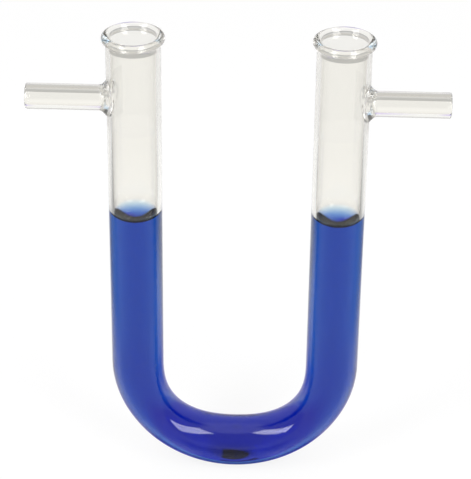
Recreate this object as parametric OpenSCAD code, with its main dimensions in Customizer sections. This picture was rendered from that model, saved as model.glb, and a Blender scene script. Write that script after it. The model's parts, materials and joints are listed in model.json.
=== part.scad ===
// U-form drying tube: one glass tube bent into a U, with a rolled rim on each leg and a
// straight side arm fused on the outer side of each leg, partly filled with blue liquid.
// Millimetres. +Z is up, +X runs across the two legs, and the origin is under the bend.

/* [Glass tube] */
// Outside diameter of the bent tube
tube_od = 16; // [12:0.5:30]
// Thickness of the tube's wall
tube_wall = 1.5; // [0.8:0.1:2.2]
// Height from the underside of the bend to the top of the rims
overall_h = 150; // [120:1:300]
// Distance between the axes of the two legs
leg_spacing = 60.5; // [36:0.5:140]

/* [Side arms] */
// Outside diameter of a side arm
arm_od = 7.6; // [5:0.1:11]
// Thickness of a side arm's wall
arm_wall = 1.2; // [0.6:0.1:2.4]
// Distance from a leg's axis to the open end of its side arm
arm_reach = 31.5; // [20:0.5:60]
// Depth of the side arms' axes below the top of the rims
arm_drop = 20.5; // [14:0.5:60]
// Radius of the curve that runs from a side arm into its root
root_curve = 1.8; // [0.8:0.1:3]
// Width by which the gathered glass of the root stands out round the side arm
root_swell = 1.35; // [0.6:0.05:3]

/* [Rims] */
// Thickness of the rolled bead
bead_d = 2.4; // [1.8:0.1:4]
// How much wider in radius the bead's inner side is than the bore
mouth_flare = 0.27; // [0.2:0.01:0.6]
// How much wider in radius the seat for a stopper is than the bore
seat_ease = 0.1; // [0.05:0.05:0.15]
// Length of the straight seat for a stopper below the neck
seat_len = 4; // [2:0.5:8]
// Radius of the neck's outward curve under the bead
neck_curve = 3.5; // [2:0.5:10]

/* [Liquid] */
// Height of the liquid's flat surface above the underside of the bend
liquid_level = 89.7; // [45:0.1:110]
// Height that the liquid climbs at the glass
meniscus_rise = 2.8; // [0.6:0.1:2.8]
// Angle between the liquid's surface and the glass where they meet
contact_angle = 15; // [5:1:40]

/* [Hidden] */
$fn = 96;

tube_r = tube_od / 2;
bore_r = tube_r - tube_wall;
bend_r = leg_spacing / 2;
leg_x = leg_spacing / 2;
leg_foot_z = tube_r + bend_r; // where the bend ends and the straight legs begin
lap = 0.01; // how far two rounds run into each other where they only just touch

// rim
bead_r = bead_d / 2;
bead_ring_r = bore_r + mouth_flare + bead_r;
bead_z = overall_h - bead_r;
neck_x = tube_r + neck_curve - lap;
neck_dx = neck_x - bead_ring_r;
neck_dz = sqrt(pow(bead_r + neck_curve - lap, 2) - pow(neck_dx, 2));
seat_r = bore_r + seat_ease;
seat_z = bead_z - neck_dz - seat_len;
taper_len = 6 * seat_ease;
flare_curve = neck_curve + tube_r - seat_r; // inside, the flare follows the neck at the wall's thickness

// side arms
arm_r = arm_od / 2;
arm_bore_r = arm_r - arm_wall;
arm_z = overall_h - arm_drop;
arm_start = tube_r + root_curve; // from here outwards the arm is a plain tube
root_r = arm_r + root_swell;
root_round = root_swell * 2 / 3;
root_curve_r = arm_r + root_curve - lap; // where the middle of the root's curve lies
root_in = root_curve_r - (root_r - root_round);
root_round_x = arm_start - sqrt(pow(root_curve + root_round - lap, 2) - pow(root_in, 2));
funnel_r = arm_bore_r + arm_wall / 2;
arm_foot = (tube_r + arm_start) / 2; // the arm's own tube begins here, inside its root
funnel_x = sqrt(pow(bore_r, 2) - pow(funnel_r, 2)); // where the funnel meets the leg's bore

// liquid
meniscus_r = meniscus_rise / (1 - sin(contact_angle));
flat_r = bore_r - meniscus_r * cos(contact_angle);

// Half ring that joins the feet of the two legs, with a round section of radius r
module bend(r) {
    translate([0, 0, leg_foot_z])
        rotate([90, 0, 0])
            rotate([0, 0, 180])
                rotate_extrude(angle = 180)
                    translate([bend_r, 0])
                        circle(r = r);
}

// Half section of a leg's outside: straight wall and outward neck
module leg_outline() {
    square([tube_r, bead_z - leg_foot_z]);
    translate([0, bead_z - leg_foot_z]) {
        difference() {
            polygon([
                [tube_r / 2, -neck_dz],
                [neck_x, -neck_dz],
                [bead_ring_r, 0],
                [tube_r / 2, 0]
            ]);
            translate([neck_x, -neck_dz])
                circle(r = neck_curve);
        }
    }
}

// Half section of the gathered glass at a side arm's root, along the arm's own axis
module root_outline() {
    difference() {
        polygon([
            [0, bore_r / 2],
            [root_r, bore_r / 2],
            [root_r, root_round_x],
            [root_r - root_round, root_round_x],
            [root_curve_r, arm_start],
            [0, arm_start]
        ]);
        translate([root_curve_r, arm_start])
            circle(r = root_curve);
    }
    translate([root_r - root_round, root_round_x])
        circle(r = root_round);
}

// Half section of a side arm from inside its root to its fire-polished end
module arm_outline() {
    end_z = arm_reach - arm_wall / 2;
    difference() {
        translate([arm_bore_r, arm_foot])
            square([arm_wall, arm_reach]);
        difference() {
            translate([0, end_z])
                square([arm_od, arm_reach]);
            translate([arm_r - arm_wall / 2, end_z])
                circle(d = arm_wall);
        }
    }
}

// Half section of the space inside the neck, which flares out to the bead
module flare_outline() {
    difference() {
        translate([0, -neck_dz])
            square([bead_ring_r, neck_dz + bead_d]);
        translate([neck_x, -neck_dz])
            circle(r = flare_curve);
    }
}

// Everything a leg's bore takes out, from the foot up through the mouth
module leg_bore() {
    cylinder(r = bore_r, h = bead_z - leg_foot_z);
    translate([0, 0, seat_z - taper_len - leg_foot_z])
        cylinder(r1 = bore_r, r2 = seat_r, h = taper_len);
    translate([0, 0, seat_z - leg_foot_z])
        cylinder(r = seat_r, h = bead_z - seat_z);
    translate([0, 0, bead_z - leg_foot_z])
        rotate_extrude()
            flare_outline();
}

// Rolled bead round a mouth
module bead() {
    translate([0, 0, bead_z - leg_foot_z])
        rotate_extrude()
            translate([bead_ring_r, 0])
                circle(r = bead_r);
}

// Turns a shape that stands on +Z to point outwards along a leg's side arm
module along_arm(side) {
    translate([side * leg_x, 0, arm_z])
        rotate([0, side * 90, 0])
            children();
}

module at_leg(side) {
    translate([side * leg_x, 0, leg_foot_z])
        children();
}

module glass_tube() {
    color([0.86, 0.90, 0.90, 0.35]) {
        difference() {
            union() {
                bend(tube_r);
                for (side = [-1, 1]) {
                    at_leg(side)
                        rotate_extrude()
                            leg_outline();
                    along_arm(side)
                        rotate_extrude()
                            root_outline();
                }
            }
            bend(bore_r);
            for (side = [-1, 1]) {
                at_leg(side)
                    leg_bore();
                along_arm(side) {
                    cylinder(r = arm_bore_r, h = arm_start + 1);
                    translate([0, 0, funnel_x - arm_wall / 2])
                        cylinder(r1 = funnel_r, r2 = arm_bore_r, h = tube_r - funnel_x + arm_wall / 2);
                }
            }
        }
        for (side = [-1, 1]) {
            at_leg(side)
                bead();
            along_arm(side)
                rotate_extrude()
                    arm_outline();
        }
    }
}

// Half section of the liquid in one leg, with a surface that curves up to the glass
module liquid_outline() {
    depth = liquid_level - leg_foot_z;
    difference() {
        square([bore_r, depth + meniscus_rise]);
        translate([0, depth])
            square([flat_r, 2 * meniscus_rise]);
        translate([flat_r, depth + meniscus_r - lap])
            circle(r = meniscus_r);
    }
}

module blue_liquid() {
    color([0.20, 0.25, 0.62, 0.85]) {
        bend(bore_r);
        for (side = [-1, 1])
            at_leg(side)
                rotate_extrude()
                    liquid_outline();
    }
}

glass_tube();
blue_liquid();
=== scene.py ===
# %% [markdown]
# # A U-form drying tube in worked glass
# A glass tube is bent into a U. Each leg has a rolled rim for a stopper and a side arm for rubber
# tubing, and a deep blue liquid stands in the bend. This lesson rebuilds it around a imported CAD
# model, the frame, which already holds the true sizes. The CAD shapes are sound but faceted, and
# glass shows every facet, so both pieces are built again here as fine, smooth, closed meshes.

import json
import math
from functools import partial

import bmesh
import bpy
from mathutils import Matrix, Vector


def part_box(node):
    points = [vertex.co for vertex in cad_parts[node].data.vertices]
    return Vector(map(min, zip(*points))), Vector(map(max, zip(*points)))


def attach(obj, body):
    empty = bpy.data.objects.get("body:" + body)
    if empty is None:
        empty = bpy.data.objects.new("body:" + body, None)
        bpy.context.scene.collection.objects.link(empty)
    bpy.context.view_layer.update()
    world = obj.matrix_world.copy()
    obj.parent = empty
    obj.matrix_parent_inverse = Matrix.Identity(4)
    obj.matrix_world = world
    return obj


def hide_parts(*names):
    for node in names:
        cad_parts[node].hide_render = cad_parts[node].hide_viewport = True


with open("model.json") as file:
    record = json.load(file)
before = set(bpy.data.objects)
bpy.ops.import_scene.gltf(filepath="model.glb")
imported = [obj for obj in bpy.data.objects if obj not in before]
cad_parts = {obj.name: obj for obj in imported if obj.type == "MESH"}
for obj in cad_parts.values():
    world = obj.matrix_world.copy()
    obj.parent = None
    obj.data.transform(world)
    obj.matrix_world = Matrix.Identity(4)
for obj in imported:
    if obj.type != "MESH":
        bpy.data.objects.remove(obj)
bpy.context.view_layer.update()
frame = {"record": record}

# %% [markdown]
# ## Sizes
# The record says where a stopper, the rubber tubing and a clamp meet the glass, and the CAD boxes say
# how far the pieces reach. Reading the sizes there, and not typing them again, keeps the fine meshes
# on the CAD model. The few sizes that are in neither are typed where they are first
# needed, such as the side arms' wall: 1.2 mm is the wall of stock tubing of this width.

# %% Read the sizes
MM = 0.001
ARM_WALL = 1.2 * MM
mounts = {mount["name"]: mount for mount in frame["record"]["mounts"]}
mouth, arm, grip = mounts["mouth_right"], mounts["arm_right"], mounts["leg_grip"]
glass_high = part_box("glass_tube")[1]
liquid_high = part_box("blue_liquid")[1]

TUBE_R = grip["pos_m"][1]  # a clamp's jaws meet the outside of a leg
BORE_R = liquid_high.y  # the liquid fills the bore
LEG_X = mouth["pos_m"][0]
BEND_Z = LEG_X + TUBE_R  # where the straight legs begin
RIM_Z = glass_high.z
RIM_R = glass_high.y
MOUTH_R = mouth["dims"]["r_mm"] * MM
ARM_Z = arm["pos_m"][2]
ARM_R = arm["dims"]["r_mm"] * MM
ARM_BORE_R = ARM_R - ARM_WALL
ARM_TIP_X = glass_high.x - LEG_X  # how far an arm reaches from its leg's axis
CONTACT_Z = liquid_high.z  # the line where the liquid's surface meets the glass
print(f"tube {TUBE_R / MM:.2f} mm, bore {BORE_R / MM:.2f} mm, legs at {LEG_X / MM:.2f} mm")
print(f"arms {ARM_R / MM:.2f} mm at {ARM_Z / MM:.1f} mm up, liquid to {CONTACT_Z / MM:.1f} mm")

# %% [markdown]
# ## Colours
# Colours are easiest to choose as sRGB hex values, as any paint program shows them. Blender works in
# linear light, so one function turns the first into the second.


# %% Colour helper
def linear(hex_colour):
    """An sRGB hex colour as linear red, green, blue and alpha."""
    channels = [int(hex_colour[i:i + 2], 16) / 255 for i in (1, 3, 5)]
    return [c / 12.92 if c <= 0.04045 else ((c + 0.055) / 1.055) ** 2.4 for c in channels] + [1.0]


print("mid grey in linear light:", round(linear("#808080")[0], 3))

# %% [markdown]
# ## Nodes
# Materials and Geometry Nodes are both trees of nodes. One small function adds any node, with its
# settings and its links, so a tree reads as a formula from the inside out. A few kinds and settings
# come so often that they get a short name.

# %% Node helper
MATH, STEP, MIX = "ShaderNodeMath", "ShaderNodeMapRange", "ShaderNodeMix"
PLUS, MINUS, TIMES = {"operation": "ADD"}, {"operation": "SUBTRACT"}, {"operation": "MULTIPLY"}
LARGER, SIZE = {"operation": "MAXIMUM"}, {"operation": "ABSOLUTE"}
SINE, COSINE = {"operation": "SINE"}, {"operation": "COSINE"}
SMOOTH = {"interpolation_type": "SMOOTHSTEP"}
COLOURS = {"data_type": "RGBA"}
MIX_SHARE, MIX_FIRST, MIX_SECOND, MIX_RESULT = 0, 6, 7, 2  # a colour Mix node's own sockets


def add(tree, kind, settings=None, *values, at=None, **named):
    """Adds a node with its settings. Its inputs are given in their order, by place or by name.

    An input is a value, another node's output, or another node, whose first output is meant.
    """
    node = tree.nodes.new(kind)
    for name, value in (settings or {}).items():
        setattr(node, name, value)
    inputs = dict(enumerate(values)) | (at or {})
    inputs |= {name.replace("_", " "): value for name, value in named.items()}
    for key, value in inputs.items():
        if isinstance(value, bpy.types.Node):
            value = value.outputs[0]
        if isinstance(value, bpy.types.NodeSocket):
            tree.links.new(value, node.inputs[key])
        else:
            node.inputs[key].default_value = value
    return node


def new_material(name):
    """An empty node material, and the add function tied to its tree."""
    material = bpy.data.materials.new(name)
    material.use_nodes = True
    material.node_tree.nodes.clear()
    print("material:", name)
    return material, partial(add, material.node_tree)


# %% [markdown]
# ## Borosilicate glass
# Laboratory glass is borosilicate: it bends light with an index of 1.473, and it is drawn and
# flame-polished, so its surface is perfectly smooth. A Glass shader would do for one clear block. The
# Principled shader is used here because its base colour can darken towards the edges, a painted shade
# that stands for the dark lines round glass outlines, and because it can take a small share of diffuse
# light, which gives the wall a faint body. Layer Weight tells how slanted the surface is, so the
# painted shade darkens the edges from every side alike.

# %% Glass maker
GLASS_IOR = 1.473
WATER_CLEAR = "#FFFEFA"
SLANT_FROM, SLANT_TO = 0.42, 0.80  # the edge tint comes in between these values of Facing


def glass_material(name, painted_edge_shade=None, specular_tint="#FFFFFF", haze=0.0):
    """Clear glass, with painted shade at its edges if a colour for it is given. Haze is the share of
    diffuse light.
    """
    material, put = new_material(name)
    colour = linear(WATER_CLEAR)
    # Painted shade: towards the edges the base colour turns to the given colour.
    if painted_edge_shade:
        facing = put("ShaderNodeLayerWeight", Blend=0.5).outputs["Facing"]
        edge = put(STEP, SMOOTH, facing, SLANT_FROM, SLANT_TO)
        mixed = put(MIX, COLOURS, at={MIX_SHARE: edge, MIX_FIRST: colour, MIX_SECOND: linear(painted_edge_shade)})
        colour = mixed.outputs[MIX_RESULT]
    surface = put("ShaderNodeBsdfPrincipled", Base_Color=colour, Roughness=0.0, IOR=GLASS_IOR,
                  Transmission_Weight=1.0 - haze, Specular_Tint=linear(specular_tint))
    put("ShaderNodeOutputMaterial", Surface=surface)
    return material


# %% [markdown]
# ### The clear legs and rims
# The dry glass above the liquid is nearly invisible: it shows by the grey lines at its edges, by the
# bright and dark rings of the rim, and by a trace of warm grey in its body. So its painted edge shade
# is a warm off-white, and 1.5% of diffuse light sets it off from a white ground. The inner wall has the
# same finish with a paler painted edge shade, because its edge is seen through the outer wall's own
# edge.

# %% Clear glass and its bore
clear_glass = glass_material("borosilicate glass, flame-polished", "#F2EFEA", haze=0.015)
bore_glass = glass_material("borosilicate glass, bore", "#F6F4F0", haze=0.015)

# %% [markdown]
# ### The wetted bore
# Where the liquid touches the glass there is no air between them, so that wall hardly reflects. Left
# bright, it would lay a second, false pair of highlights inside the blue. A dark specular tint all
# but takes them away, and the wall needs no edge tint of its own.

# %% Wetted glass
wetted_glass = glass_material("borosilicate glass, wetted", specular_tint="#404040")

# %% [markdown]
# ### The fused seals
# A side arm is melted on. The gathered glass round its root is thicker than the wall and slightly
# uneven inside, so it looks greyer and a little milky. A darker painted edge shade and 10% of diffuse
# light say so.

# %% Seal glass
seal_glass = glass_material("borosilicate glass, fused seal", "#DAD6D0", haze=0.10)

# %% [markdown]
# ### The side arms
# The arms are thin tubes straight from the draw, the clearest glass of all. They get a pale painted
# edge shade and no haze, so they almost vanish between their two outlines.

# %% Arm glass
arm_glass = glass_material("borosilicate glass, side arm", "#F4F2EE")

# %% [markdown]
# ### The outside of the filled tube
# Round the liquid, the wall acts as a lens: a filled tube looks blue to its very outline, with a
# darker, greyer line along it. Real shading there comes from everything that stands in the room. This
# small studio has little to reflect, so a blue-grey painted shade at the edges stands for it.

# %% Glass round the liquid, with painted edge shade
edge_shaded_glass = glass_material("borosilicate glass, drawn tube", "#8288A8")

# %% [markdown]
# ## Blue dye solution
# The liquid is water with a blue dye. Its colour isn't on its surface: light loses its red first and
# its green next, the further it goes. Volume Absorption does just that, so thin places come out
# paler by themselves. A unit of density takes away one minus the colour per metre, which leaves
# after 13 mm 0.4% of the red, 6% of the green and 44% of the blue. The index, 1.32, is matched and
# is a shade under water's 1.33. A tinted surface would be simpler, but it would be one blue.

# %% Liquid material
LIQUID_IOR = 1.32
DYE_COLOUR, DYE_DENSITY = "#00BAEE", 430.0


def liquid_material():
    material, put = new_material("blue dye solution")
    surface = put("ShaderNodeBsdfPrincipled", Base_Color=linear("#FFFFFF"), Roughness=0.0,
                  IOR=LIQUID_IOR, Transmission_Weight=1.0)
    volume = put("ShaderNodeVolumeAbsorption", Color=linear(DYE_COLOUR), Density=DYE_DENSITY)
    put("ShaderNodeOutputMaterial", Surface=surface, Volume=volume)
    return material


blue_liquid = liquid_material()

# %% [markdown]
# ## The bent tube
# A glassblower heats a straight tube and bends it over. Its wall is one rule: a ring that runs down
# one leg, round the bend and up the other. A curve with a round bevel would draw it too, but the
# same rule is needed three times, for the outside, the bore and the liquid, so Geometry Nodes make
# it: a flat grid whose one side becomes the way round the ring and whose other side becomes the way
# along the U. A hot tube flattens a little as it is bent. So at the U's two lower corners, halfway
# from each leg to the lowest point, the ring is 13% narrower in the bend's plane, and sits 0.7 mm
# further out.

# %% Sweep sizes and inputs
SEGMENTS = 128  # points in a ring
BEND_RINGS = 120
LEG_RINGS = 12
CORNER_FLAT = 0.13
CORNER_SHIFT = 0.7 * MM
SWEEP_SIZES = ("Ring radius", "Bend radius", "Leg length", "Bend height",
               "Corner flattening", "Corner shift")
SWEEP_COUNTS = ("Segments", "Leg rings", "Bend rings")


def sweep_inputs(tree):
    """Gives the group its output and its named inputs, and returns those inputs' values."""
    tree.interface.new_socket("Geometry", in_out="OUTPUT", socket_type="NodeSocketGeometry")
    for name in SWEEP_SIZES:
        tree.interface.new_socket(name, in_out="INPUT", socket_type="NodeSocketFloat")
    for name in SWEEP_COUNTS:
        tree.interface.new_socket(name, in_out="INPUT", socket_type="NodeSocketInt")
    tree.interface.new_socket("Material", in_out="INPUT", socket_type="NodeSocketMaterial")
    return add(tree, "NodeGroupInput").outputs


print("sweep inputs:", len(SWEEP_SIZES) + len(SWEEP_COUNTS) + 1)

# %% [markdown]
# A ring's place along the U is counted in steps: so many down the first leg, so many round the bend
# and so many up. Map Range turns that count into a length or an angle, and holds still outside its
# own part of the way. The flattening follows the squared sine of twice the bend's angle, which is
# nothing on the legs and at the lowest point, and most at the two corners.


# %% Sweep places
def sweep_spots(put, given, steps_along):
    """Where the grid's points go: along the U, and round the ring."""
    leg_steps, length = given["Leg rings"], given["Leg length"]
    bend_end = put(MATH, PLUS, leg_steps, given["Bend rings"])
    place = put("ShaderNodeSeparateXYZ", None, put("GeometryNodeInputPosition"))
    around = put(MATH, TIMES, put(MATH, PLUS, place.outputs["X"], 0.5), math.tau)
    along = put(MATH, TIMES, put(MATH, PLUS, place.outputs["Y"], 0.5), steps_along)
    down = put(STEP, None, along, 0.0, leg_steps, length, 0.0)
    turn = put(STEP, None, along, leg_steps, bend_end, 0.0, math.pi)
    up = put(STEP, None, along, bend_end, steps_along, 0.0, length)

    wave = put(MATH, SINE, put(MATH, TIMES, turn, 2.0))
    corner = put(MATH, {"operation": "POWER"}, wave, 2.0)
    kept = put(MATH, MINUS, 1.0, put(MATH, TIMES, corner, given["Corner flattening"]))
    across = put(MATH, TIMES, given["Ring radius"], kept)
    shift = put(MATH, TIMES, corner, given["Corner shift"])
    out = put(MATH, PLUS, put(MATH, TIMES, across, put(MATH, COSINE, around)), shift)
    reach = put(MATH, PLUS, given["Bend radius"], out)

    x = put(MATH, TIMES, put(MATH, TIMES, reach, put(MATH, COSINE, turn)), -1.0)
    y = put(MATH, TIMES, given["Ring radius"], put(MATH, SINE, around))
    sunk = put(MATH, MINUS, given["Bend height"], put(MATH, TIMES, reach, put(MATH, SINE, turn)))
    z = put(MATH, PLUS, sunk, put(MATH, PLUS, down, up))
    return put("ShaderNodeCombineXYZ", None, x, y, z)


# %% [markdown]
# The tree moves every point of the grid to its spot, welds the seam where the ring closes, and ends
# in Realize Instances and Set Material, so that nothing is lost when it becomes a plain mesh.

# %% Sweep tree
SEAM = 1e-6  # points closer than this, in metres, are one


def sweep_tree():
    tree = bpy.data.node_groups.new("U sweep", "GeometryNodeTree")
    put = partial(add, tree)
    given = sweep_inputs(tree)
    steps_along = put(MATH, PLUS, put(MATH, TIMES, given["Leg rings"], 2.0), given["Bend rings"])
    grid = put("GeometryNodeMeshGrid", None, 1.0, 1.0, put(MATH, PLUS, given["Segments"], 1.0),
               put(MATH, PLUS, steps_along, 1.0))
    spots = sweep_spots(put, given, steps_along)
    moved = put("GeometryNodeSetPosition", Geometry=grid, Position=spots)
    closed = put("GeometryNodeMergeByDistance", Geometry=moved, Distance=SEAM)
    smooth = put("GeometryNodeSetShadeSmooth", Geometry=closed)
    real = put("GeometryNodeRealizeInstances", Geometry=smooth)
    named = put("GeometryNodeSetMaterial", Geometry=real, Material=given["Material"])
    put("NodeGroupOutput", None, named)
    return tree


SWEEP = sweep_tree()
print("sweep nodes:", len(SWEEP.nodes))

# %% [markdown]
# A modifier runs the tree on an empty holder. Its inputs are set by their identifiers, and the result
# is taken off as a plain mesh, so the holder and its modifier can go.


# %% Sweep a wall
def sweep(name, radius, top_z, material):
    """The plain mesh of a U-shaped wall of this radius, open at both tops."""
    holder = bpy.data.objects.new(name, bpy.data.meshes.new(name))
    bpy.context.scene.collection.objects.link(holder)
    modifier = holder.modifiers.new("sweep", "NODES")
    modifier.node_group = SWEEP
    values = {
        "Ring radius": radius, "Bend radius": LEG_X, "Leg length": top_z - BEND_Z, "Bend height": BEND_Z,
        "Corner flattening": CORNER_FLAT, "Corner shift": CORNER_SHIFT,
        "Segments": SEGMENTS, "Leg rings": LEG_RINGS, "Bend rings": BEND_RINGS, "Material": material,
    }
    for item in SWEEP.interface.items_tree:
        if item.in_out == "INPUT":
            modifier[item.identifier] = values[item.name]
    graph = bpy.context.evaluated_depsgraph_get()
    mesh = bpy.data.meshes.new_from_object(holder.evaluated_get(graph))
    bpy.data.objects.remove(holder)
    print(f"{name}: {len(mesh.vertices)} points")
    return mesh


# %% [markdown]
# ## The rolled rims
# A rim is made by softening the tube's end and rolling it outwards over a rod: the wall flares out in
# a neck and gathers in a round bead. Spinning one outline round the leg's axis makes all of it. The
# outline is drawn from arcs that run into each other smoothly: the neck outside, the bead, and
# the flare inside, which follows the neck at the wall's own thickness.

# %% Rim sizes
BEAD_R = 1.2 * MM
BEAD_RING_R = RIM_R - BEAD_R
BEAD_Z = RIM_Z - BEAD_R
NECK_R = 3.5 * MM
NECK_X = TUBE_R + NECK_R
NECK_Z = BEAD_Z - math.sqrt((BEAD_R + NECK_R) ** 2 - (NECK_X - BEAD_RING_R) ** 2)
FLARE_R = NECK_X - MOUTH_R
print(f"the neck starts {(RIM_Z - NECK_Z) / MM:.2f} mm below the rim")


# %% Arc and crease
def arc(centre, radius, start_deg, end_deg, steps):
    """Points along an arc in a profile's plane, both ends included."""
    angles = [math.radians(start_deg + (end_deg - start_deg) * i / steps) for i in range(steps + 1)]
    return [(centre[0] + radius * math.cos(a), centre[1] + radius * math.sin(a)) for a in angles]


def crease():
    """Where the flare inside the neck meets the bead, as an angle round each one's centre."""
    dx, dz = BEAD_RING_R - NECK_X, BEAD_Z - NECK_Z
    apart = math.hypot(dx, dz)
    towards = math.atan2(dz, dx)
    neck_turn = math.acos((apart ** 2 + FLARE_R ** 2 - BEAD_R ** 2) / (2 * apart * FLARE_R))
    bead_turn = math.acos((apart ** 2 + BEAD_R ** 2 - FLARE_R ** 2) / (2 * apart * BEAD_R))
    return math.degrees(towards + neck_turn), math.degrees(towards + math.pi - bead_turn)


print("crease angles:", [round(angle, 1) for angle in crease()])

# %% [markdown]
# The flare meets the bead in a crease. Real glass has no sharp corner there, so both arcs stop a
# few degrees short of it and one narrow face bridges the gap.

# %% Rim outline
NECK_STEPS, BEAD_STEPS = 14, 44
BEAD_SHORT_DEG, FLARE_SHORT_DEG = 4, 1


def rim_profile():
    """(radius, height) points over the rim, from the neck outside to the flare inside."""
    lean = math.degrees(math.atan2(BEAD_Z - NECK_Z, BEAD_RING_R - NECK_X))
    flare_end, bead_end = crease()
    outside = arc((NECK_X, NECK_Z), NECK_R, 180, lean, NECK_STEPS)
    bead = arc((BEAD_RING_R, BEAD_Z), BEAD_R, lean - 180, bead_end - BEAD_SHORT_DEG, BEAD_STEPS)[1:]
    flare = arc((NECK_X, NECK_Z), FLARE_R, flare_end + FLARE_SHORT_DEG, 180, NECK_STEPS)
    return outside + bead + flare


print("points in the rim's outline:", len(rim_profile()))

# %% [markdown]
# ## The legs' walls
# Each leg's wall is a stack of rings with a hole for its side arm. A Boolean could cut a round hole,
# but it leaves long thin faces that show as scratches in glass. So the wall's grid leaves out a
# square of its own faces, the patch, and rings that change from the square into the arm's circle
# fill it later. The square has 20 segments on each side of the arm's axis, both round and up.

# %% Patch and rows
PATCH = 20  # half the side of the square, in segments
PATCH_ANGLE = PATCH * math.tau / SEGMENTS
OUTER_JOIN_Z = ARM_Z - 9.0 * MM  # up to here the outer wall comes from the sweep
SAME = 1e-9


def patch_heights(radius):
    """The heights of the patch's rings, on a wall of this radius."""
    half = PATCH_ANGLE * radius
    return [ARM_Z - half + half * i / PATCH for i in range(2 * PATCH + 1)]


outer_rows = [(TUBE_R, OUTER_JOIN_Z)] + [(TUBE_R, z) for z in patch_heights(TUBE_R)] + rim_profile()
inner_rows = [(BORE_R, CONTACT_Z)] + [(BORE_R, z) for z in patch_heights(BORE_R)]
print(f"rows: {len(outer_rows)} outside, {len(inner_rows)} in the bore")


# %% [markdown]
# The wall is made ring by ring. A point inside the square is left out, and so is every face of the
# square, and the points round its edge are handed on in order, so that the root can start from them.


# %% Wall with a square hole
def patch_edge(grid, first):
    """The points round the hole, in the order of patch_angles below."""
    last = first + 2 * PATCH
    ring = [grid[first + i][PATCH] for i in range(2 * PATCH)]
    ring += [grid[last][PATCH - i] for i in range(2 * PATCH)]
    ring += [grid[last - i][-PATCH] for i in range(2 * PATCH)]
    ring += [grid[first][i - PATCH] for i in range(2 * PATCH)]
    return ring


def wall_grid(bm, side, rows, radius):
    """Rings of points up a leg's wall, with the patch left out. Returns the grid and the hole's edge."""
    first = next(i for i, row in enumerate(rows) if abs(row[1] - patch_heights(radius)[0]) < SAME)
    last = first + 2 * PATCH
    grid = []
    for i, (r, z) in enumerate(rows):
        ring = []
        for j in range(SEGMENTS):
            angle = math.tau * j / SEGMENTS
            column = j if j <= SEGMENTS // 2 else j - SEGMENTS
            inside = first < i < last and abs(column) < PATCH
            spot = (side * (LEG_X + r * math.cos(angle)), r * math.sin(angle), z)
            ring.append(None if inside else bm.verts.new(spot))
        grid.append(ring)
    for i in range(len(rows) - 1):
        for j in range(SEGMENTS):
            column = j if j < SEGMENTS // 2 else j - SEGMENTS
            if first <= i < last and -PATCH <= column < PATCH:
                continue
            after = (j + 1) % SEGMENTS
            bm.faces.new((grid[i][j], grid[i][after], grid[i + 1][after], grid[i + 1][j]))
    return grid, patch_edge(grid, first)


# %% [markdown]
# ## The side arms' roots
# A glassblower blows a hole in the hot wall, sets the arm's end on it and melts the two together.
# The glass gathers in a ring: a small foot against the leg, a rounded shoulder, and a hollow curve
# that runs out into the arm. The shoulder's arc starts 0.25 mm lower than the foot's ends, which
# leaves a fine groove round the root. The outline gives distances from the arm's axis and heights
# above the leg's wall, so it can be laid on the round leg and dips down its sides as real glass does.
# Two plain cylinders run into each other would leave a knife-sharp line, which real glass never has.

# %% Root outlines
FOOT_R, FOOT_OUT = 0.553 * MM, 5.664 * MM
SHOULDER_R, SHOULDER_OUT, SHOULDER_UP = 0.7 * MM, 4.486 * MM, -0.125 * MM
COVE_R, COVE_UP = 1.7 * MM, 2.3 * MM
FOOT_DEG, SHOULDER_DEG, COVE_DEG = (270, 200), (20, 65), (245, 180)
BORE_EDGE_R = 0.5 * MM  # the rounded edge where an arm's bore opens into the leg


def root_profile_outer():
    """(distance from the arm's axis, height above the leg's wall) from the leg to the arm."""
    points = arc((FOOT_OUT, FOOT_R), FOOT_R, *FOOT_DEG, 8)
    points += arc((SHOULDER_OUT, SHOULDER_UP), SHOULDER_R, *SHOULDER_DEG, 6)[1:]
    points += arc((ARM_R + COVE_R, COVE_UP), COVE_R, *COVE_DEG, 12)[1:]
    return points


def root_profile_inner():
    """The same for the arm's bore, where its round edge opens into the leg's bore."""
    return arc((ARM_BORE_R + BORE_EDGE_R, BORE_EDGE_R), BORE_EDGE_R, 270, 180, 12)


print("points in the root's outlines:", len(root_profile_outer()), len(root_profile_inner()))


# %% [markdown]
# Between the square and the root's circle lie eight rings. Each is a mixture of the two shapes, with
# more of the circle towards the root, and every one of them lies on the leg's own round wall, so the
# patch can't be seen.


# %% From the square to the circle
def patch_angles():
    """Directions of the square patch's edge points, seen along the side arm."""
    n = 2 * PATCH
    edge = [(PATCH, i - PATCH) for i in range(n)] + [(PATCH - i, PATCH) for i in range(n)]
    edge += [(-PATCH, PATCH - i) for i in range(n)] + [(i - PATCH, -PATCH) for i in range(n)]
    return [math.atan2(v, u) for u, v in edge]


ANGLES = patch_angles()
PATCH_RINGS = 8


def patch_rings(bm, side, rho, wall_r):
    """Rings on the leg's wall that turn from the square's edge into a circle of radius rho."""
    rings = []
    for step in range(1, PATCH_RINGS + 1):
        t = step / PATCH_RINGS
        ring = []
        for angle in ANGLES:
            stretch = PATCH_ANGLE / max(abs(math.cos(angle)), abs(math.sin(angle)))
            square_turn, square_up = stretch * math.cos(angle), stretch * math.sin(angle)
            y, z = rho * math.cos(angle), rho * math.sin(angle)
            turn = square_turn * (1 - t) + math.asin(y / wall_r) * t
            up = square_up * wall_r * (1 - t) + z * t
            out = side * (LEG_X + wall_r * math.cos(turn))
            ring.append(bm.verts.new((out, wall_r * math.sin(turn), ARM_Z + up)))
        rings.append(ring)
    return rings


print("points round the patch:", len(ANGLES))


# %% [markdown]
# From the circle on, the rings climb the root's outline. Further out the arm is a plain tube, whose
# rings are round and upright, and one function joins any list of rings with faces.


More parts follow.
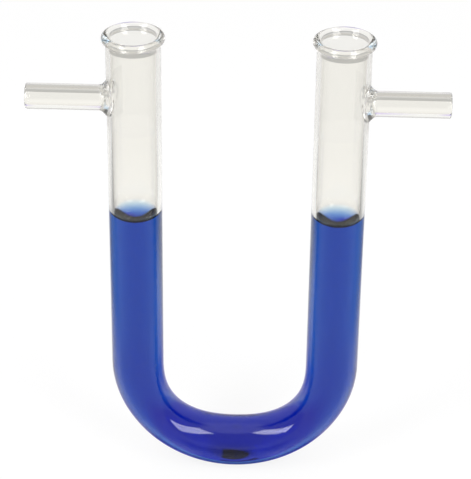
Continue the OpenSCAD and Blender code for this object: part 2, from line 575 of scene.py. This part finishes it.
# %% Rings of the root and the arm
def root_rings(bm, side, profile, wall_r, hole):
    """From the hole's edge over the patch and up the root, laid on the leg's round wall."""
    rings = [hole] + patch_rings(bm, side, profile[0][0], wall_r)
    for rho, height in profile[1:]:
        ring = []
        for angle in ANGLES:
            y, z = rho * math.cos(angle), rho * math.sin(angle)
            x = math.sqrt(wall_r ** 2 - y ** 2) + height
            ring.append(bm.verts.new((side * (LEG_X + x), y, ARM_Z + z)))
        rings.append(ring)
    return rings


def straight_ring(bm, side, rho, x):
    """A plain ring round the arm's axis, at this distance from the leg's axis."""
    spots = [(side * (LEG_X + x), rho * math.cos(a), ARM_Z + rho * math.sin(a)) for a in ANGLES]
    return [bm.verts.new(spot) for spot in spots]


def skin(bm, rings):
    """Faces between each ring and the next. Returns the new faces."""
    faces = []
    for low, high in zip(rings, rings[1:]):
        for k in range(len(low)):
            after = (k + 1) % len(low)
            faces.append(bm.faces.new((low[k], low[after], high[after], high[k])))
    return faces


# %% [markdown]
# ## One leg's top
# The leg's outer wall goes up over the rim and down into the bore, the root grows out of the hole, and
# the arm runs out to a fire-polished end: a flame rounds the cut edge, so the wall ends in a half
# circle. Every part of the glass gets its own finish through a material slot with a name. Separate
# objects could do that too, but then their open edges would meet inside the glass and show.

# %% Leg top
GLASS_SLOTS = (clear_glass, wetted_glass, bore_glass, edge_shaded_glass, seal_glass, arm_glass)
WETTED, BORE, EDGE_SHADED, SEAL, ARM = range(1, len(GLASS_SLOTS))  # a new face has slot 0, clear glass
ARM_PLAIN_X = TUBE_R + 3.0 * MM  # from here outwards the arm is a plain tube
ARM_STEPS, TIP_STEPS = 4, 12
TOLERANCE = 0.01 * MM


def paint(faces, slot):
    for face in faces:
        face.material_index = slot


def is_bore(face):
    """Whether a leg's face belongs to the bore below the neck."""
    middle = face.calc_center_median()
    from_axis = math.hypot(abs(middle.x) - LEG_X, middle.y)
    return from_axis < BORE_R + TOLERANCE and middle.z < NECK_Z


def leg_top(bm, side):
    """A leg's walls, rim, root and side arm, on the side -1 or 1."""
    already = set(bm.faces)
    outer, outer_hole = wall_grid(bm, side, outer_rows, TUBE_R)
    inner, inner_hole = wall_grid(bm, side, inner_rows, BORE_R)
    skin(bm, [outer[-1], inner[-1]])
    paint([face for face in set(bm.faces) - already if is_bore(face)], BORE)
    root = root_rings(bm, side, root_profile_outer(), TUBE_R, outer_hole)
    bore = root_rings(bm, side, root_profile_inner(), BORE_R, inner_hole)
    paint(skin(bm, root), SEAL)

    end = ARM_TIP_X - ARM_WALL / 2
    stops = [ARM_PLAIN_X + (end - ARM_PLAIN_X) * i / ARM_STEPS for i in range(ARM_STEPS + 1)]
    outside = root[-1:] + [straight_ring(bm, side, ARM_R, x) for x in stops]
    bore += [straight_ring(bm, side, ARM_BORE_R, x) for x in stops]
    half_circle = arc((0, 0), ARM_WALL / 2, 0, 180, TIP_STEPS)[1:-1]
    tip = [straight_ring(bm, side, ARM_R - ARM_WALL / 2 + dr, end + dx) for dr, dx in half_circle]
    paint(skin(bm, outside + tip + bore[::-1]), ARM)
    print(f"leg top on side {side}: {len(bm.faces) - len(already)} faces")


print("glass slots:", [material.name for material in GLASS_SLOTS])

# %% [markdown]
# ## The whole glass
# The two swept walls and the two leg tops are four open skins that share their edge points. Merging
# those points closes them into one solid, and recalculated normals then all face outwards. Refraction
# needs both: light that comes in through an open edge or a turned face is bent the wrong way.

# %% Close a mesh and make it a piece
WELD = 2e-6  # metres


def close_mesh(bm, name):
    """Welds the skins, turns the faces outwards, shades them smooth and prints what came out."""
    bmesh.ops.remove_doubles(bm, verts=bm.verts, dist=WELD)
    bmesh.ops.recalc_face_normals(bm, faces=bm.faces)
    open_edges = sum(len(edge.link_faces) != 2 for edge in bm.edges)
    volume = bm.calc_volume() / MM ** 3
    print(f"{name}: {len(bm.faces)} faces, {open_edges} open edges, {volume:.0f} mm3")
    for face in bm.faces:
        face.smooth = True


def make_piece(bm, name, materials):
    """A finished piece at the origin, with its place in its mesh."""
    mesh = bpy.data.meshes.new(name)
    bm.to_mesh(mesh)
    bm.free()
    for material in materials:
        mesh.materials.append(material)
    piece = bpy.data.objects.new(name, mesh)
    bpy.context.scene.collection.objects.link(piece)
    return piece


# %% [markdown]
# The outer sweep gets the glass with painted edge shade below the liquid's edge and clear glass
# above it, and the inner sweep, which only reaches up to the liquid's edge, is all wetted.


# %% Build the glass
def build_glass():
    bm = bmesh.new()
    bm.from_mesh(sweep("outer wall", TUBE_R, OUTER_JOIN_Z, clear_glass))
    outer = set(bm.faces)
    paint([face for face in outer if face.calc_center_median().z < CONTACT_Z], EDGE_SHADED)
    bm.from_mesh(sweep("wetted bore", BORE_R, CONTACT_Z, wetted_glass))
    paint(set(bm.faces) - outer, WETTED)
    for side in (-1, 1):
        leg_top(bm, side)
    close_mesh(bm, "glass")
    return make_piece(bm, "glass_tube_worked", GLASS_SLOTS)


glass = build_glass()

# %% [markdown]
# ## The liquid's surface
# Water climbs the glass and its surface curves up to the wall: the meniscus. An arc would do for a
# thin tube. In a 13 mm bore the middle is nearly flat and the edge steep, so the true law is stepped
# outwards from the middle: how sharply the surface curves grows with its height over the middle.

# %% One surface from its middle
CONTACT_DEG = 28
CAPILLARY_LENGTH = 2.7 * MM  # how far surface tension and weight let the curve reach, for water
SURFACE_STEPS = 2000
STEEPEST = math.pi / 2 - 1e-3


def surface_curve(radius, curvature):
    """(radius, height, slope) points from the middle outwards, for one curvature in the middle."""
    r, z, slope = 1e-9, 0.0, 0.0
    points = [(0.0, 0.0, 0.0)]
    step = radius / SURFACE_STEPS
    while r < radius and slope < STEEPEST:
        bend = 2 * curvature + z / CAPILLARY_LENGTH ** 2 - math.sin(slope) / r
        if r < step:  # in the very middle the surface curves alike in all directions
            bend = curvature
        r += step * math.cos(slope)
        z += step * math.sin(slope)
        slope += step * bend
        points.append((r, z, slope))
    return points


# %% [markdown]
# The curvature in the middle isn't known beforehand. It is found by halving a range again and again,
# until the surface reaches the wall at the contact angle. Of the many fine steps only 29 rows are
# kept, at even steps of slope, so that they lie close together where the surface turns up.

# %% Find the meniscus
SURFACE_ROWS = 28
FLATTEST, HALVINGS = 1e-3, 60


def meniscus(radius, contact):
    """(radius, height) points of the liquid's surface in a round bore, from the wall to the middle."""
    low, high = FLATTEST, 2 / radius
    for _ in range(HALVINGS):
        middle = (low + high) / 2
        r, _, slope = surface_curve(radius, middle)[-1]
        if r >= radius and slope < math.pi / 2 - contact:
            low = middle
        else:
            high = middle
    points = surface_curve(radius, low)
    reach, rise, steepest = points[-1]
    print(f"meniscus rises {rise / MM:.2f} mm from the middle to the glass")
    picked = []
    for i in range(SURFACE_ROWS + 1):
        wanted = steepest * i / SURFACE_ROWS
        r, z, _ = min(points, key=lambda point: abs(point[2] - wanted))
        picked.append((r * radius / reach, CONTACT_Z - rise + z))
    return picked[::-1]


surface_rows = meniscus(BORE_R, math.radians(CONTACT_DEG))

# %% [markdown]
# ## The liquid
# The body is the same sweep as the bore, closed at both tops by the meniscus. If the liquid ended
# exactly on the glass, the two faces would fight, and if it ended short, a film of air would light
# up silver between them. So it reaches 0.06 mm into the wall, and the ray tracer then goes from
# glass to liquid without ever meeting air.

# %% Build the liquid
OVERLAP = 0.06 * MM
SHARP_ANGLE = 0.6  # in radians, where the surface meets the wall


def leg_ring(bm, side, r, z):
    """A ring of points round a leg's axis."""
    angles = [math.tau * j / SEGMENTS for j in range(SEGMENTS)]
    spots = [(side * (LEG_X + r * math.cos(a)), r * math.sin(a), z) for a in angles]
    return [bm.verts.new(spot) for spot in spots]


def build_liquid():
    bm = bmesh.new()
    radius = BORE_R + OVERLAP
    bm.from_mesh(sweep("liquid wall", radius, CONTACT_Z, blue_liquid))
    for side in (-1, 1):
        rings = [leg_ring(bm, side, r, z) for r, z in [(radius, CONTACT_Z)] + surface_rows[:-1]]
        skin(bm, rings)
        centre = bm.verts.new((side * LEG_X, 0, surface_rows[-1][1]))
        for j in range(SEGMENTS):
            bm.faces.new((rings[-1][j], rings[-1][(j + 1) % SEGMENTS], centre))
    close_mesh(bm, "liquid")
    for edge in bm.edges:
        edge.smooth = edge.calc_face_angle() < SHARP_ANGLE
    return make_piece(bm, "blue_liquid_body", [blue_liquid])


liquid = build_liquid()

# %% [markdown]
# ## What the pieces stand for
# The tube is one rigid body, called root. Each fine piece rides on it and hides the CAD node that it
# stands for.

# %% Ride and replace
for piece, node, slot in ((glass, "glass_tube", "clear_glass"), (liquid, "blue_liquid", "blue_liquid")):
    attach(piece, "root")
    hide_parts(node)
    print(piece.name, "stands for", node)

# %% [markdown]
# ## The floor
# The tube stands on a white card on a table. To the camera all of it is plain white paper, but glass
# is a lens and a mirror: what it shows is the floor around it. So the floor's tones matter for rays
# that come through the glass or off it. Real cards and cloths could be laid out, but each would need
# its own light. Here one flat floor carries all the tones, drawn with soft steps along its own X and
# Y. The card is nearly white, a little darker further back. It ends sharply in front and behind and
# fades out at its sides.

# %% Card
CARD_FRONT, CARD_BACK = -15 * MM, 340 * MM
CARD_BLUR = 3 * MM
CARD_SIDE_FROM, CARD_SIDE_TO = 80 * MM, 135 * MM
CARD_NEAR_TONE, CARD_FAR_TONE = 0.95, 0.905
CARD_DIM_FROM, CARD_DIM_TO = 160 * MM, 230 * MM


def card_share(put, aside, y):
    """1 on the card and 0 off it. Aside is the distance from the middle, to either side."""
    past = put(MATH, LARGER, put(MATH, MINUS, y, CARD_BACK), put(MATH, MINUS, CARD_FRONT, y))
    lengthways = put(STEP, SMOOTH, past, -CARD_BLUR, CARD_BLUR, 1.0, 0.0)
    sideways = put(STEP, SMOOTH, aside, CARD_SIDE_FROM, CARD_SIDE_TO, 1.0, 0.0)
    return put(MATH, TIMES, lengthways, sideways)


def card_tone(put, y):
    return put(STEP, SMOOTH, y, CARD_DIM_FROM, CARD_DIM_TO, CARD_NEAR_TONE, CARD_FAR_TONE)


print(f"card {(CARD_BACK - CARD_FRONT) / MM:.0f} mm long, {2 * CARD_SIDE_FROM / MM:.0f} mm wide or more")

# %% [markdown]
# The table is grey. It is darkest right beside the tube, which draws the dark lines along the edges
# of the clear legs, and paler further off. A narrow strip of painted shade in front of the tube is
# what the underside of the bend mirrors.

# %% Table
BESIDE_FROM, BESIDE_TO = 80 * MM, 160 * MM
BESIDE_NEAR_TONE, BESIDE_FAR_TONE = 0.35, 0.84
BEHIND_FROM, BEHIND_TO = 500 * MM, 700 * MM
BEHIND_NEAR_TONE, BEHIND_FAR_TONE = 0.48, 0.64
BEHIND_STARTS, BEHIND_FULL = 330 * MM, 335 * MM
STRIP_STARTS, STRIP_FULL = -45 * MM, -40 * MM
STRIP_FROM, STRIP_TO = 10 * MM, 20 * MM
FRONT_FULL, FRONT_ENDS = -16 * MM, -14 * MM
FRONT_TONE, STRIP_DEPTH = 0.65, 0.45


def table_tone(put, aside, y):
    """The grey of the table beside the card, in front of it and behind it."""
    beside = put(STEP, SMOOTH, y, BESIDE_FROM, BESIDE_TO, BESIDE_NEAR_TONE, BESIDE_FAR_TONE)
    # Painted shade: a darker strip on the table just in front of the tube.
    strip = put(MATH, TIMES, put(STEP, SMOOTH, y, STRIP_STARTS, STRIP_FULL, 0.0, 1.0),
                put(STEP, SMOOTH, aside, STRIP_FROM, STRIP_TO, 1.0, 0.0))
    front_tone = put(MATH, MINUS, FRONT_TONE, put(MATH, TIMES, strip, STRIP_DEPTH))
    in_front = put(MATH, TIMES, front_tone, put(STEP, SMOOTH, y, FRONT_FULL, FRONT_ENDS, 1.0, 0.0))
    behind = put(STEP, SMOOTH, y, BEHIND_FROM, BEHIND_TO, BEHIND_NEAR_TONE, BEHIND_FAR_TONE)
    is_behind = put(STEP, SMOOTH, y, BEHIND_STARTS, BEHIND_FULL, 0.0, 1.0)
    return put(MIX, Factor=is_behind, A=put(MATH, LARGER, beside, in_front), B=behind)


print("table tones:", BESIDE_NEAR_TONE, "beside,", FRONT_TONE, "in front,", BEHIND_NEAR_TONE, "behind")

# %% [markdown]
# ### Blue light on the card
# Light that comes through the liquid falls blue on the card, and the tube then looks through itself
# at that patch, which turns the lower legs and the bend towards violet. Caustics would need a very
# long render, so the patch is drawn: deep right behind the bend, and fading out round it.

# %% Blue light
BLUE_BACK_FROM, BLUE_BACK_TO = 30 * MM, 90 * MM
BLUE_SIDE_FROM, BLUE_SIDE_TO = 42 * MM, 62 * MM
BLUE_FRONT_FROM, BLUE_FRONT_TO = -12 * MM, -4 * MM
DEEP_BACK_FROM, DEEP_BACK_TO = 30 * MM, 50 * MM
DEEP_SIDE_FROM, DEEP_SIDE_TO = 26 * MM, 36 * MM
DEEP_LIGHT, SHALLOW_LIGHT = (0.20, 0.15, 0.85), (0.75, 0.66, 0.97)  # shares of red, green and blue kept


def blue_patch(put, aside, y):
    """How much blue light falls here, and how deep its colour is."""
    behind = put(STEP, SMOOTH, y, BLUE_BACK_FROM, BLUE_BACK_TO, 1.0, 0.0)
    beside = put(STEP, SMOOTH, aside, BLUE_SIDE_FROM, BLUE_SIDE_TO, 1.0, 0.0)
    before = put(STEP, SMOOTH, y, BLUE_FRONT_FROM, BLUE_FRONT_TO, 0.0, 1.0)
    blue = put(MATH, TIMES, put(MATH, TIMES, behind, beside), before)
    deep = put(MATH, TIMES, put(STEP, SMOOTH, aside, DEEP_SIDE_FROM, DEEP_SIDE_TO, 1.0, 0.0),
               put(STEP, SMOOTH, y, DEEP_BACK_FROM, DEEP_BACK_TO, 1.0, 0.0))
    return blue, deep


print(f"blue light reaches {BLUE_BACK_TO / MM:.0f} mm behind the tube")

# %% [markdown]
# ### The contact shadow
# At its lowest point the bend touches the card, and hardly any light gets in between. Through the
# liquid that place is a small dark spot. Traced light would make it too faint on a floor that glows,
# so it is drawn as painted shadow. Its edges are bowed as the bend's outline is: the square of the
# distance from the middle bends the Y that the steps read. A paler, wider painted shadow softens it.

# %% Contact shadow
BOW, BOW_X = 15.0, 0.3 * MM  # metres of bow for a square metre of distance, and its middle
SPOT_X = 1.3 * MM
SPOT_SIDE_FROM, SPOT_SIDE_TO = 4.4 * MM, 5.5 * MM
SPOT_BACK_FROM, SPOT_BACK_TO = 8.9 * MM, 9.3 * MM
SPOT_FRONT_FROM, SPOT_FRONT_TO = -4 * MM, -1 * MM
FURTHER_FROM, FURTHER_TO, FURTHER_DEPTH = 11.8 * MM, 12.1 * MM, 0.92
FURTHER_BACK_FROM, FURTHER_BACK_TO = 18 * MM, 22 * MM
SPOT_DEPTH = 0.97


def spot_depth(put, x, y, bowed):
    """How dark the spot is: a near part, and a further part behind a thin gap of light."""
    near = put(MATH, TIMES, put(STEP, SMOOTH, bowed, SPOT_BACK_FROM, SPOT_BACK_TO, 1.0, 0.0),
               put(STEP, SMOOTH, y, SPOT_FRONT_FROM, SPOT_FRONT_TO, 0.0, 1.0))
    further = put(MATH, TIMES, put(STEP, SMOOTH, bowed, FURTHER_FROM, FURTHER_TO, 0.0, FURTHER_DEPTH),
                  put(STEP, SMOOTH, y, FURTHER_BACK_FROM, FURTHER_BACK_TO, 1.0, 0.0))
    from_spot = put(MATH, SIZE, put(MATH, MINUS, x, SPOT_X))
    sideways = put(STEP, SMOOTH, from_spot, SPOT_SIDE_FROM, SPOT_SIDE_TO, 1.0, 0.0)
    spot = put(MATH, TIMES, sideways, put(MATH, LARGER, near, further))
    return put(MATH, TIMES, spot, SPOT_DEPTH)


print(f"contact spot {2 * SPOT_SIDE_FROM / MM:.1f} mm wide")

# %% Soft painted shadow and shade
SOFT_SHADOW_BACK_FROM, SOFT_SHADOW_BACK_TO = 8.6 * MM, 10.5 * MM
SOFT_SHADOW_FRONT_FROM, SOFT_SHADOW_FRONT_TO = -16 * MM, -14 * MM
SOFT_SHADOW_SIDE_FROM, SOFT_SHADOW_SIDE_TO = 8 * MM, 16 * MM
SOFT_SHADOW_DEPTH = 0.40


def contact_shade(put, x, aside, y):
    """The share of light left under the bend."""
    from_middle = put(MATH, MINUS, x, BOW_X)
    bow = put(MATH, TIMES, BOW, put(MATH, TIMES, from_middle, from_middle))
    bowed = put(MATH, MINUS, y, bow)
    # Painted shadow: a paler, wider shade round the contact spot, fading out to the sides.
    behind = put(STEP, SMOOTH, bowed, SOFT_SHADOW_BACK_FROM, SOFT_SHADOW_BACK_TO, SOFT_SHADOW_DEPTH, 0.0)
    before = put(STEP, SMOOTH, y, SOFT_SHADOW_FRONT_FROM, SOFT_SHADOW_FRONT_TO, 0.0, 1.0)
    sideways = put(STEP, SMOOTH, aside, SOFT_SHADOW_SIDE_FROM, SOFT_SHADOW_SIDE_TO, 1.0, 0.0)
    soft_shadow = put(MATH, TIMES, put(MATH, TIMES, behind, before), sideways)
    spot_left = put(MATH, MINUS, 1.0, spot_depth(put, x, y, bowed))
    return put(MATH, TIMES, spot_left, put(MATH, MINUS, 1.0, soft_shadow))


print(f"halo {2 * SOFT_SHADOW_SIDE_FROM / MM:.0f} mm wide, {SOFT_SHADOW_DEPTH:.0%} dark")

# %% [markdown]
# ### White to the camera
# A lit floor never comes out evenly white, and brighter lamps would only bleach the glass. Light Path
# makes it white: a ray straight from the camera sees the floor as even white light of strength 1, and
# a ray through or off the glass sees the drawn tones in the same even light. Near the tube 15% of the
# floor stays a real, lit surface, which keeps the tube's own soft shadow. That share fades out with
# distance, so the floor and the white world meet without a line.

# %% Floor material
LIT_NEAR, LIT_FAR = 0.30, 1.0  # metres from the tube
GLOW_NEAR = 0.85  # the share of even white close to the tube


def shown_share(put, x, y, path):
    """How much of the floor is drawn light and not lit surface, for the ray that sees it."""
    by_glass = put(MATH, LARGER, path.outputs["Is Glossy Ray"], path.outputs["Is Transmission Ray"])
    rays = put(MATH, LARGER, path.outputs["Is Camera Ray"], by_glass)
    squares = put(MATH, PLUS, put(MATH, TIMES, x, x), put(MATH, TIMES, y, y))
    away = put(MATH, {"operation": "SQRT"}, squares)
    return put(MATH, TIMES, rays, put(STEP, SMOOTH, away, LIT_NEAR, LIT_FAR, GLOW_NEAR, 1.0))


def floor_material():
    material, put = new_material("white card on a grey table")
    place = put("ShaderNodeSeparateXYZ", None, put("ShaderNodeTexCoord").outputs["Object"])
    x, y = place.outputs["X"], place.outputs["Y"]
    aside = put(MATH, SIZE, x)
    path = put("ShaderNodeLightPath")
    grey = put(MIX, Factor=card_share(put, aside, y), A=table_tone(put, aside, y), B=card_tone(put, y))
    shaded = put(MATH, TIMES, grey, contact_shade(put, x, aside, y))
    blue, deep = blue_patch(put, aside, y)
    channels = []
    for shallow_share, deep_share in zip(SHALLOW_LIGHT, DEEP_LIGHT):
        share = put(MIX, Factor=deep, A=shallow_share, B=deep_share)
        tinted = put(MATH, TIMES, shaded, put(MIX, Factor=blue, A=1.0, B=share))
        channels.append(put(MATH, LARGER, tinted, path.outputs["Is Camera Ray"]))
    tone = put("ShaderNodeCombineColor", None, *channels)
    lit = put("ShaderNodeBsdfDiffuse", Color=tone)
    even = put("ShaderNodeEmission", Color=tone, Strength=1.0)
    both = put("ShaderNodeMixShader", None, shown_share(put, x, y, path), lit, even)
    put("ShaderNodeOutputMaterial", Surface=both)
    return material


# %% [markdown]
# The floor itself is one large flat face. It belongs to the stage and not to the object.

# %% Lay the floor
FLOOR_HALF = 6.0  # metres, so that its edges lie out of view
corners = [(-FLOOR_HALF, -FLOOR_HALF, 0), (FLOOR_HALF, -FLOOR_HALF, 0),
           (FLOOR_HALF, FLOOR_HALF, 0), (-FLOOR_HALF, FLOOR_HALF, 0)]
floor_mesh = bpy.data.meshes.new("floor")
floor_mesh.from_pydata(corners, [], [(0, 1, 2, 3)])
floor_mesh.materials.append(floor_material())
floor = bpy.data.objects.new("floor", floor_mesh)
bpy.context.scene.collection.objects.link(floor)
print("floor laid, nodes:", len(floor_mesh.materials[0].node_tree.nodes))

# %% [markdown]
# ## The room
# The world is the rest of the studio. To the camera it is white. Glass and light see a soft grey
# room instead, a little warmer behind the tube and cooler in front, with a bright ceiling, so the
# round walls have something to reflect and stay soft. Modelled walls would do the same with more
# noise. Texture Coordinate's Generated output is the direction in the world, and two smooth steps
# along Y and Z mix the three tones.

# %% World
FRONT_ROOM, BACK_ROOM, CEILING, PAPER = "#B4B4B8", "#CCCAC6", "#FAFAFF", "#FFFFFF"
BACK_FROM, BACK_TO = -0.45, -0.05
CEILING_FROM, CEILING_TO = 0.86, 0.93

world = bpy.data.worlds.new("studio")
bpy.context.scene.world = world
world.use_nodes = True
world.node_tree.nodes.clear()
put = partial(add, world.node_tree)
towards = put("ShaderNodeSeparateXYZ", None, put("ShaderNodeTexCoord").outputs["Generated"])
behind = put(STEP, SMOOTH, towards.outputs["Y"], BACK_FROM, BACK_TO)
overhead = put(STEP, SMOOTH, towards.outputs["Z"], CEILING_FROM, CEILING_TO)
walls = put(MIX, COLOURS, at={
    MIX_SHARE: behind, MIX_FIRST: linear(FRONT_ROOM), MIX_SECOND: linear(BACK_ROOM)})
tone = put(MIX, COLOURS, at={
    MIX_SHARE: overhead, MIX_FIRST: walls.outputs[MIX_RESULT], MIX_SECOND: linear(CEILING)})
room = put("ShaderNodeBackground", Color=tone.outputs[MIX_RESULT], Strength=1.0)
paper = put("ShaderNodeBackground", Color=linear(PAPER), Strength=1.0)
camera_ray = put("ShaderNodeLightPath").outputs["Is Camera Ray"]
put("ShaderNodeOutputWorld", Surface=put("ShaderNodeMixShader", None, camera_ray, room, paper))
print("world nodes:", len(world.node_tree.nodes))

# %% [markdown]
# ## Two softboxes
# Two tall softboxes stand in front of the tube, one to each side. Their mirror images are the
# curved white streaks on the bend and the thin lights on the rims. Point lamps would leave dots
# there. Area lamps shaped as tall rectangles give streaks with clean edges. Each is aimed at a point
# low in the tube.


# %% Lamps
LAMP_DISTANCE = 1.2  # metres
LAMP_TARGET = Vector((0, 0, 50 * MM))


def softbox(name, azimuth_deg, elevation_deg, width, height, power):
    """An area lamp aimed at the tube. Azimuth 0 is behind the tube, 90 to its right."""
    lamp = bpy.data.lights.new(name, "AREA")
    lamp.shape = "RECTANGLE"
    lamp.size, lamp.size_y = width, height
    lamp.energy = power
    holder = bpy.data.objects.new(name, lamp)
    az, el = math.radians(azimuth_deg), math.radians(elevation_deg)
    direction = Vector((math.sin(az) * math.cos(el), math.cos(az) * math.cos(el), math.sin(el)))
    holder.location = LAMP_TARGET + direction * LAMP_DISTANCE
    holder.rotation_euler = (-direction).to_track_quat("-Z", "Y").to_euler()
    bpy.context.scene.collection.objects.link(holder)
    print(f"{name}: {width} x {height} m, {power} W")


softbox("right softbox", azimuth_deg=140, elevation_deg=33, width=0.48, height=1.12, power=8.5)
softbox("left softbox", azimuth_deg=-134, elevation_deg=38, width=0.40, height=1.10, power=7.5)

# %% [markdown]
# ## Long light paths
# A ray that crosses the filled tube goes through six surfaces, four of the glass and two of the
# liquid, and may be mirrored many times between them. With the usual limit of 12 bounces it would stop
# early and leave dark slivers, so the limits are raised. This costs little, as few rays go that far.

# %% Light paths
cycles = bpy.context.scene.cycles
cycles.max_bounces = 96
cycles.transmission_bounces = 32
cycles.glossy_bounces = 96
print("bounces:", cycles.max_bounces)

# %% [markdown]
# ## The camera
# The camera stands about 0.65 m from the tube, to the front and above, and looks down at 31 degrees
# with a long lens, so the legs stay almost parallel. It is turned by a hair to the left and tilted
# by less than a degree, as a camera held in the hand is. A Track To constraint would aim it, but
# can't tilt it, so its axes are worked out from the three angles and written into its matrix.

# %% Camera
CAMERA_SPOT = Vector((0.01248, -0.5376, 0.4057))
YAW, PITCH, ROLL = -0.02366, 0.5411, 0.01277  # radians
LENS_MM, SENSOR_MM = 156.476, 36.0

camera_data = bpy.data.cameras.new("camera")
camera_data.sensor_width = SENSOR_MM
camera_data.lens = LENS_MM
camera_data.clip_start = 10 * MM
camera = bpy.data.objects.new("camera", camera_data)
bpy.context.scene.collection.objects.link(camera)
forward = Vector((math.sin(YAW) * math.cos(PITCH), math.cos(YAW) * math.cos(PITCH), -math.sin(PITCH)))
level_right = Vector((math.cos(YAW), -math.sin(YAW), 0))
level_up = level_right.cross(forward)
right = math.cos(ROLL) * level_right + math.sin(ROLL) * level_up
up = -math.sin(ROLL) * level_right + math.cos(ROLL) * level_up
turned = Matrix((right, up, -forward)).transposed().to_4x4()
camera.matrix_world = Matrix.Translation(CAMERA_SPOT) @ turned
bpy.context.scene.camera = camera
print(f"camera looks down at {math.degrees(PITCH):.1f} degrees through {LENS_MM:.0f} mm")

# %% [markdown]
# The Standard view shows a colour as it is written.

# %% Standard view
bpy.context.scene.view_settings.view_transform = "Standard"
